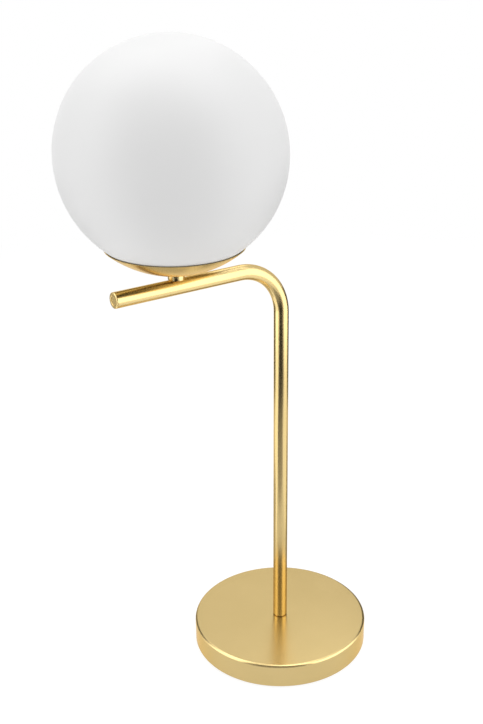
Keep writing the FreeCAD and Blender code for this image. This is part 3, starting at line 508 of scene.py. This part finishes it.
def make_arm_end_cap():
    low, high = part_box("arm_end_cap")
    radius = high.y
    edge = 0.0009
    face = 0.0046
    recess = 0.00035
    head = 0.0024
    tail_radius = TUBE_RADIUS - TUBE_WALL - FIT
    profile = [(0, low.x + recess), (face - recess, low.x + recess)]
    profile += arc((face, low.x + recess), recess, 180, 270, 5)
    profile += arc((radius - edge, low.x + edge), edge, -90, 0, 8)
    profile += [(radius, low.x + head), (tail_radius, low.x + head), (tail_radius, high.x), (0, high.x)]
    along_x = Matrix.Translation((0, 0, ARM_HEIGHT)) @ Matrix.Rotation(math.pi / 2, 4, "Y")
    piece = lathe("arm_plug", profile, along_x, segments=96)
    dress(piece, "stand", ["arm_end_cap"], "satin_gold")


make_arm_end_cap()


# Neck and dish


def make_neck_collar():
    low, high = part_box("neck_collar")
    radius = high.y
    spigot_radius = 0.004
    bore = 0.0026
    edge = 0.0004
    groove = 0.003
    gap = 0.001
    foot = 0.0002
    seat = low.z + NECK_SPIGOT
    profile = [(bore, low.z), (spigot_radius, low.z), (spigot_radius, seat)]
    profile += [(radius - groove, seat), (radius - groove, seat + gap)]
    profile += arc((radius - foot, seat + gap + foot), foot, -90, 0, 4)
    profile += arc((radius - edge, high.z - edge), edge, 0, 90, 5)
    profile += [(bore, high.z)]
    piece = lathe("neck_ring", profile, OVER_NECK, segments=96)
    dress(piece, "stand", ["neck_collar"], "satin_gold")


make_neck_collar()


def sphere_angle(radius, out):
    """Angle below the horizon, in degrees, at which a sphere's surface is out from its axis."""
    return -math.degrees(math.acos(out / radius))


def make_dish():
    low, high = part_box("dish")
    outer = 0.0955
    inner = 0.0947
    flat = 0.009
    rim = 0.00035
    wall = outer - inner
    mouth = high.y - wall
    centre = (0, low.z + math.sqrt(outer**2 - flat**2))
    drop = centre[1] - high.z
    outer_end = -math.degrees(math.asin((drop + rim) / outer))
    inner_end = -math.degrees(math.asin((drop + rim) / inner))
    profile = [(THREAD_HOLE, low.z + wall), (THREAD_HOLE, low.z)]
    profile += arc(centre, outer, sphere_angle(outer, flat), outer_end, 60)
    profile += arc((mouth + rim, high.z - rim), rim, 30, 150, 8)
    profile += arc(centre, inner, inner_end, sphere_angle(inner, flat), 60)
    piece = lathe("cup_dish", profile, OVER_NECK, segments=256)
    dress(piece, "stand", ["dish"], "satin_gold")


make_dish()


# Globe


def make_globe_glass():
    """Globe with a hole whose rounded lip is drawn in shares of the lip's size."""
    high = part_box("globe_glass")[1]
    wall = 0.003
    outer = high.y
    inner = outer - wall
    hole = 0.037
    lip = 0.0012
    centre = (0, high.z - outer)
    profile = arc(centre, outer, sphere_angle(outer, hole + lip), 90, 150)
    profile += arc(centre, inner, 90, sphere_angle(inner, hole + lip), 120)
    outer_foot = profile[0][1]
    inner_foot = profile[-1][1]
    profile += [(hole + lip * 0.3, inner_foot - lip * 0.35), (hole, inner_foot - lip)]
    profile += [(hole, outer_foot + lip * 0.6), (hole + lip * 0.3, outer_foot - lip * 0.05)]
    piece = lathe("opal_globe", profile, OVER_NECK, segments=256)
    dress(piece, "globe", ["globe_glass"], "opal_glass")


make_globe_glass()


def make_globe_collar():
    low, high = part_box("globe_collar")
    wall = 0.004
    outer = high.y
    inner = outer - wall
    chamfer = 0.0006
    edge = 0.0002
    profile = [(inner, low.z + chamfer), (inner + chamfer, low.z)]
    profile += [(outer - edge, low.z), (outer, low.z + edge)]
    profile += [(outer, high.z - chamfer), (outer - chamfer, high.z)]
    profile += [(inner + edge, high.z), (inner, high.z - edge)]
    profile = divided(profile, inner, GALLERY_THREAD_STEP)
    piece = lathe("threaded_collar", profile, OVER_NECK, segments=192)
    start = low.z + chamfer
    end = high.z - edge
    thread(piece, inner, start, end, GALLERY_PITCH, GALLERY_THREAD_DEPTH, GALLERY_RUN_OUT, phase=0.5)
    dress(piece, "globe", ["globe_collar"], "aluminium")


make_globe_collar()


def make_globe_gasket():
    low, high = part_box("globe_gasket")
    inner = 0.03325
    edge = 0.0005
    corners = [(inner, low.z), (high.y, low.z), (high.y, high.z), (inner, high.z)]
    piece = lathe("soft_seat_ring", soften(corners, edge), OVER_NECK)
    dress(piece, "globe_lift_ring", ["globe_gasket"], "soft_ring")


make_globe_gasket()


# Gallery that the globe screws onto


def make_gallery():
    low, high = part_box("gallery")
    wall = 0.0015
    rim_height = 0.0115
    outer = high.y
    inner = outer - wall
    foot = 0.0086
    floor = 0.0012
    cone = high.z - rim_height
    edge = 0.0003
    start = cone + edge
    end = high.z - edge
    profile = [(THREAD_HOLE, low.z), (foot, low.z), (inner, cone), (outer - edge, cone), (outer, start)]
    profile += [(outer, end), (outer - edge, high.z), (inner + edge, high.z), (inner, end)]
    profile += [(inner, cone + floor), (foot, low.z + floor), (THREAD_HOLE, low.z + floor)]
    profile = divided(profile, outer, GALLERY_THREAD_STEP)
    piece = lathe("glass_gallery", profile, OVER_NECK, segments=192)
    thread(piece, outer, start, end, GALLERY_PITCH, -GALLERY_THREAD_DEPTH, GALLERY_RUN_OUT)
    dress(piece, "stand", ["gallery"], "aluminium")


make_gallery()


# Lampholder

SOCKET_WALL = 0.0022
SOCKET_EDGE = 0.0004
GRIP_GROOVES = 36
GRIP_DEPTH = 0.0006


def make_socket_cap():
    low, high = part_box("socket_cap")
    outer = high.y
    inner = outer - SOCKET_WALL
    foot_radius = 0.0095
    foot_inner = foot_radius - SOCKET_WALL + FIT
    foot = low.z + 0.006
    floor = low.z + 0.008
    shoulder = foot + 0.010
    ledge_radius = inner - 0.0018
    ledge = low.z + 0.022
    wall_step = 0.0004
    grip_start = shoulder + 0.001
    grip_end = high.z - 0.0015
    corners = [(THREAD_HOLE, low.z), (foot_radius, low.z), (foot_radius, foot), (outer, shoulder)]
    corners += [(outer, high.z), (inner, high.z), (inner, ledge), (ledge_radius, ledge)]
    corners += [(ledge_radius, shoulder), (foot_inner, floor), (THREAD_HOLE, floor)]
    profile = divided(soften(corners, SOCKET_EDGE), outer, wall_step)
    piece = lathe("holder_cap", profile, OVER_NECK, segments=GRIP_GROOVES * 8)
    grip(piece, outer, grip_start, grip_end, GRIP_GROOVES, GRIP_DEPTH)
    dress(piece, "stand", ["socket_cap"], "black_plastic")


make_socket_cap()


def make_socket_skirt():
    low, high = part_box("socket_skirt")
    outer = high.y
    inner = outer - SOCKET_WALL
    lip = 0.002
    lip_round = lip / 2
    lip_inner = inner - 0.0008
    profile = [(inner, low.z), (outer - SOCKET_EDGE, low.z), (outer, low.z + SOCKET_EDGE)]
    profile += arc((outer - lip_round, high.z - lip_round), lip_round, 0, 90, 6)
    profile += arc((lip_inner + SOCKET_EDGE, high.z - SOCKET_EDGE), SOCKET_EDGE, 90, 180, 4)
    profile += [(lip_inner, high.z - lip), (inner, high.z - lip)]
    piece = lathe("holder_skirt", profile, OVER_NECK)
    dress(piece, "stand", ["socket_skirt"], "black_plastic")


make_socket_skirt()


def make_screw_shell():
    low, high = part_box("screw_shell")
    wall = 0.0004
    depth = 0.0003
    run_out = 0.001
    wall_step = 0.0003
    inner = high.y - wall
    profile = [(inner, low.z), (high.y, low.z), (high.y, high.z), (inner, high.z)]
    piece = lathe("holder_thread", divided(profile, inner, wall_step), OVER_NECK)
    thread(piece, inner, low.z, high.z, BULB_PITCH, depth, run_out, phase=0.5)
    dress(piece, "stand", ["screw_shell"], "turned_brass")


make_screw_shell()


# Bulb


def make_bulb_cap():
    low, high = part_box("bulb_cap")
    wall = 0.0005
    depth = 0.0006
    run_out = 0.0015
    wall_step = 0.00025
    outer = high.y
    inner = outer - wall
    edge = 0.0002
    start = low.z + 0.001
    end = high.z - 0.002
    profile = [(inner, low.z), (outer - edge, low.z), (outer, low.z + edge)]
    profile += [(outer, high.z - edge), (outer - edge, high.z), (inner, high.z)]
    profile = divided(divided(profile, outer, wall_step), inner, wall_step)
    piece = lathe("screw_cap", profile, OVER_NECK)
    for radius in (outer, inner):
        thread(piece, radius, start, end, BULB_PITCH, -depth, run_out)
    dress(piece, "bulb", ["bulb_cap"], "nickel_cap")


make_bulb_cap()


def make_bulb_housing():
    low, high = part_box("bulb_housing")
    shoulder = high.y
    neck = 0.0117
    wall = 0.0016
    board_ledge = 0.004
    cap_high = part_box("bulb_cap")[1]
    cap_radius = cap_high.y
    cap_top = cap_high.z
    cone = cap_top + 0.008
    slope = math.atan((shoulder - cap_radius) / (high.z - cone))
    curve = 0.016
    board = high.z - 0.008
    seam = 0.0003
    inside = shoulder - wall
    profile = [(0, low.z), (neck, low.z), (neck, cap_top), (cap_radius - seam, cap_top)]
    profile += [(cap_radius, cap_top + seam)]
    start = (cap_radius + curve, cone - curve * math.tan(slope / 2))
    profile += arc(start, curve, 180, 180 - math.degrees(slope), 8)
    profile += [(shoulder - seam, high.z - 2 * seam), (shoulder - 1.5 * seam, high.z)]
    profile += [(inside, high.z), (inside - board_ledge, board), (0, board)]
    piece = lathe("bulb_body", profile, OVER_NECK)
    dress(piece, "bulb", ["bulb_housing"], "bulb_white")


make_bulb_housing()


def make_bulb_diffuser():
    low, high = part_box("bulb_diffuser")
    wall = 0.0015
    outer = high.y
    inner = outer - wall
    drop = high.z - outer - low.z
    centre = (0, high.z - outer)
    profile = arc(centre, outer, -math.degrees(math.asin(drop / outer)), 90, 60)
    profile += arc(centre, inner, 90, -math.degrees(math.asin(drop / inner)), 40)
    piece = lathe("bulb_dome", profile, OVER_NECK)
    dress(piece, "bulb", ["bulb_diffuser"], "bulb_white")


make_bulb_diffuser()


# Stage: white floor and world, lamps, and cards that only reflections show


def seen_share(tree):
    """1 for rays from the camera, a glossy or a clear surface, and else 0."""
    path = tree.nodes.new("ShaderNodeLightPath")
    total = path.outputs["Is Camera Ray"]
    for name in ("Is Glossy Ray", "Is Transmission Ray"):
        either = tree.nodes.new("ShaderNodeMath")
        either.operation = "MAXIMUM"
        tree.links.new(total, either.inputs[0])
        tree.links.new(path.outputs[name], either.inputs[1])
        total = either.outputs["Value"]
    return total


def make_world(seen, unseen):
    world = bpy.data.worlds.new("studio")
    world.use_nodes = True
    tree = world.node_tree
    strength = tree.nodes.new("ShaderNodeMapRange")
    strength.inputs["To Min"].default_value = unseen
    strength.inputs["To Max"].default_value = seen
    tree.links.new(seen_share(tree), strength.inputs["Value"])
    tree.links.new(strength.outputs["Result"], tree.nodes["Background"].inputs["Strength"])
    tree.nodes["Background"].inputs["Color"].default_value = (1, 1, 1, 1)
    world.cycles.sampling_method = "NONE"
    bpy.context.scene.world = world


def plane(name, width, height):
    bm = bmesh.new()
    half_width = width / 2
    half_height = height / 2
    corners = ((-1, -1), (1, -1), (1, 1), (-1, 1))
    bm.faces.new([bm.verts.new((x * half_width, y * half_height, 0)) for x, y in corners])
    piece = finish_mesh(bm, name)
    return piece


def glowing(tree, strength):
    emission = tree.nodes.new("ShaderNodeEmission")
    emission.inputs["Strength"].default_value = strength
    return emission.outputs["Emission"]


def dull(tree, grey):
    diffuse = tree.nodes.new("ShaderNodeBsdfDiffuse")
    diffuse.inputs["Color"].default_value = (grey, grey, grey, 1)
    return diffuse.outputs["BSDF"]


def blend_shaders(tree, factor, first, second):
    mix = tree.nodes.new("ShaderNodeMixShader")
    tree.links.new(factor, mix.inputs["Fac"])
    tree.links.new(first, mix.inputs[1])
    tree.links.new(second, mix.inputs[2])
    return mix.outputs["Shader"]


def bare_material(name):
    """Material with nothing in it but its output."""
    material = bpy.data.materials.new(name)
    material.use_nodes = True
    tree = material.node_tree
    tree.nodes.remove(tree.nodes["Principled BSDF"])
    return material, tree


def make_floor(size, albedo, shadow_albedo, glow, near, far):
    """White floor. What the camera sees of it is mostly its own glow, with a faint soft shadow,
    and from near to far it turns into plain white."""
    floor = plane("floor", size, size)
    material, tree = bare_material("floor")
    length = tree.nodes.new("ShaderNodeVectorMath")
    length.operation = "LENGTH"
    tree.links.new(tree.nodes.new("ShaderNodeTexCoord").outputs["Object"], length.inputs[0])
    away = tree.nodes.new("ShaderNodeMapRange")
    away.inputs["From Min"].default_value = near
    away.inputs["From Max"].default_value = far
    tree.links.new(length.outputs["Value"], away.inputs["Value"])
    shaded = tree.nodes.new("ShaderNodeAddShader")
    tree.links.new(dull(tree, shadow_albedo), shaded.inputs[0])
    tree.links.new(glowing(tree, glow), shaded.inputs[1])
    seen = blend_shaders(tree, away.outputs["Result"], shaded.outputs["Shader"], glowing(tree, 1))
    surface = blend_shaders(tree, seen_share(tree), dull(tree, albedo), seen)
    tree.links.new(surface, tree.nodes["Material Output"].inputs["Surface"])
    floor.data.materials.append(material)


def aim(item, location, target):
    """Places an item so that its -Z side faces the target."""
    direction = Vector(target) - Vector(location)
    item.location = location
    item.rotation_euler = direction.to_track_quat("-Z", "Y").to_euler()


def around(angle, distance, height):
    """A place at an angle in degrees to the right of the camera's side, seen from the pole."""
    direction = math.atan2(CAMERA_PLACE.x, -CAMERA_PLACE.y) + math.radians(angle)
    return (math.sin(direction) * distance, -math.cos(direction) * distance, height)


def only_for_reflections(card, brightness):
    """Gives a card an even glow that only glossy surfaces mirror."""
    material, tree = bare_material(card.name)
    tree.links.new(glowing(tree, brightness), tree.nodes["Material Output"].inputs["Surface"])
    card.data.materials.append(material)
    card.visible_camera = False
    card.visible_diffuse = False
    card.visible_shadow = False
    card.visible_transmission = False


def make_card(name, start, end, distance, low, high, brightness):
    """Upright card about the pole from one angle to another."""
    middle = (low + high) / 2
    half_angle = math.radians(end - start) / 2
    card = plane(name, 2 * distance * math.tan(half_angle), high - low)
    aim(card, around((start + end) / 2, distance, middle), (0, 0, middle))
    only_for_reflections(card, brightness)


def make_level_card(name, location, angle, depth, width, brightness):
    """Card that lies level, turned to an angle about the pole."""
    card = plane(name, width, depth)
    card.location = location
    card.rotation_euler = (0, 0, -math.atan2(CAMERA_PLACE.x, -CAMERA_PLACE.y) - math.radians(angle))
    only_for_reflections(card, brightness)


def make_lamp(name, location, target, width, height, power):
    """Softbox for the matt surfaces. Reflections show the cards in its place."""
    data = bpy.data.lights.new(name, "AREA")
    data.shape = "RECTANGLE"
    data.size = width
    data.size_y = height
    data.energy = power
    lamp = bpy.data.objects.new(name, data)
    lamp.visible_glossy = False
    bpy.context.scene.collection.objects.link(lamp)
    aim(lamp, location, target)


MIDDLE = (NECK_X / 2, 0, 0.33)

make_world(seen=1.0, unseen=0.72)
make_floor(30, albedo=0.94, shadow_albedo=0.3, glow=0.82, near=0.5, far=1.6)
make_card("front_low_card", -44, 38, 1.3, 0, 0.2, 0.0)
make_card("front_high_card", -44, 38, 1.3, 0.6, 1.7, 0.0)
make_level_card("front_dark_card", around(-3, 0.92, 0.0005), -3, 0.82, 1.3, 0.0)
make_card("left_bright_card", -92, -44, 0.75, 0, 0.44, 2.7)
make_card("left_high_card", -92, -44, 0.75, 0.44, 1.1, 2.7)
make_card("right_bright_card", 39, 106, 0.75, 0, 0.44, 2.7)
make_card("right_high_card", 39, 106, 0.75, 0.44, 1.1, 2.7)
make_card("left_back_card", -142, -98, 0.55, 0, 0.22, 0.1)
make_card("left_end_card", -142, -98, 0.56, 0.18, 0.38, 0.45)
make_card("right_back_card", 110, 165, 0.55, 0, 0.36, 0.1)
make_card("right_far_card", 120, 181, 1.2, 0.2, 1.0, 0.9)
make_level_card("front_floor_card", around(-3, 0.33, 0.002), -3, 0.36, 0.26, 0.45)
make_level_card("left_floor_card", around(-71, 0.44, 0.001), -71, 0.52, 0.36, 1.8)
make_level_card("right_floor_card", around(71, 0.45, 0.001), 71, 0.50, 0.50, 1.5)
make_level_card("left_edge_card", around(-125, 0.23, 0.0015), -125, 0.26, 0.26, 0.65)
make_level_card("right_edge_card", around(138, 0.28, 0.0015), 138, 0.36, 0.26, 0.4)
make_level_card("back_floor_card", around(186, 0.62, 0.001), 186, 0.8, 0.7, 1.1)
make_level_card("top_bright_card", around(0, -0.05, 1.5), 0, 2.3, 1.0, 3.3)
make_level_card("right_gap_card", around(86, 0.83, 1.5), 86, 0.62, 0.8, 0.55)
make_level_card("back_gleam_card", around(172, 1.26, 1.49), 172, 0.42, 0.6, 2.8)
make_lamp("left_softbox", around(-75, 1.1, 0.65), MIDDLE, 0.7, 1.1, 1.15)
make_lamp("right_softbox", around(75, 1.1, 0.65), MIDDLE, 0.7, 1.1, 1.25)
make_lamp("top_softbox", (-0.05, 0.05, 1.7), MIDDLE, 1.2, 1.2, 4.6)


# Camera


def make_camera():
    data = bpy.data.cameras.new("camera")
    data.sensor_fit = "AUTO"
    data.sensor_width = SENSOR
    data.lens = FOCAL_LENGTH_PIXELS / PHOTO_HEIGHT * SENSOR
    data.shift_x = (PHOTO_WIDTH / 2 - PRINCIPAL_POINT[0]) / PHOTO_HEIGHT
    data.shift_y = (PRINCIPAL_POINT[1] - PHOTO_HEIGHT / 2) / PHOTO_HEIGHT
    camera = bpy.data.objects.new("camera", data)
    bpy.context.scene.collection.objects.link(camera)
    ahead = Vector(
        (
            math.sin(CAMERA_YAW) * math.cos(CAMERA_PITCH),
            math.cos(CAMERA_YAW) * math.cos(CAMERA_PITCH),
            -math.sin(CAMERA_PITCH),
        )
    )
    level = ahead.cross(Vector((0, 0, 1))).normalized()
    upright = level.cross(ahead)
    right = level * math.cos(CAMERA_ROLL) + upright * math.sin(CAMERA_ROLL)
    up = upright * math.cos(CAMERA_ROLL) - level * math.sin(CAMERA_ROLL)
    axes = Matrix((right, up, -ahead)).transposed()
    camera.matrix_world = Matrix.Translation(CAMERA_PLACE) @ axes.to_4x4()
    bpy.context.scene.camera = camera


make_camera()
bpy.context.scene.view_settings.view_transform = "Standard"
